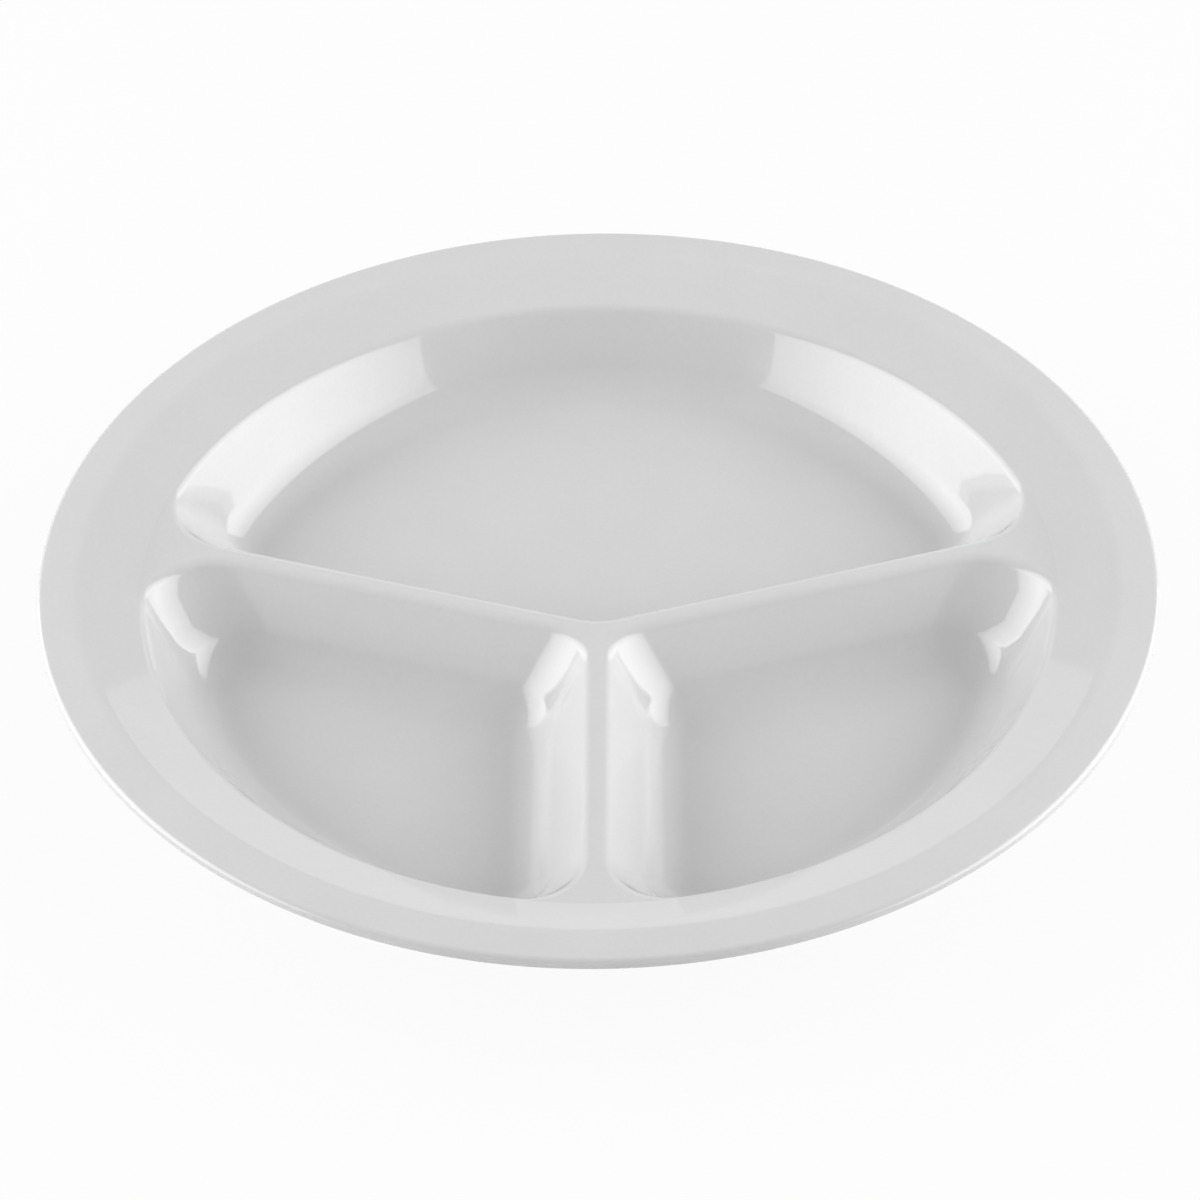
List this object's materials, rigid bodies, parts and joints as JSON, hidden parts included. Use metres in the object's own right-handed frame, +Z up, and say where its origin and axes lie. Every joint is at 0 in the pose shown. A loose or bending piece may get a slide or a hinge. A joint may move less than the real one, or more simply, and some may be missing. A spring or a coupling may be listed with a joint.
{
  "type": "divided compartment plate",
  "caption": "Round moulded plate whose hollow ridges part a large compartment from small ones, inside a sloped rim with a flat outer band.",
  "frame": {"origin": "on the table, under the middle of the rim", "axes": "+Z up out of the compartments, +X to the right and -Y towards the diner, along the front divider"},
  "size_m": [0.26, 0.2599, 0.029],
  "materials": {
    "melamine": "smooth moulded gloss, light neutral grey"
  },
  "bodies": {
    "root": {"plate": "melamine"}
  },
  "joints": []
}
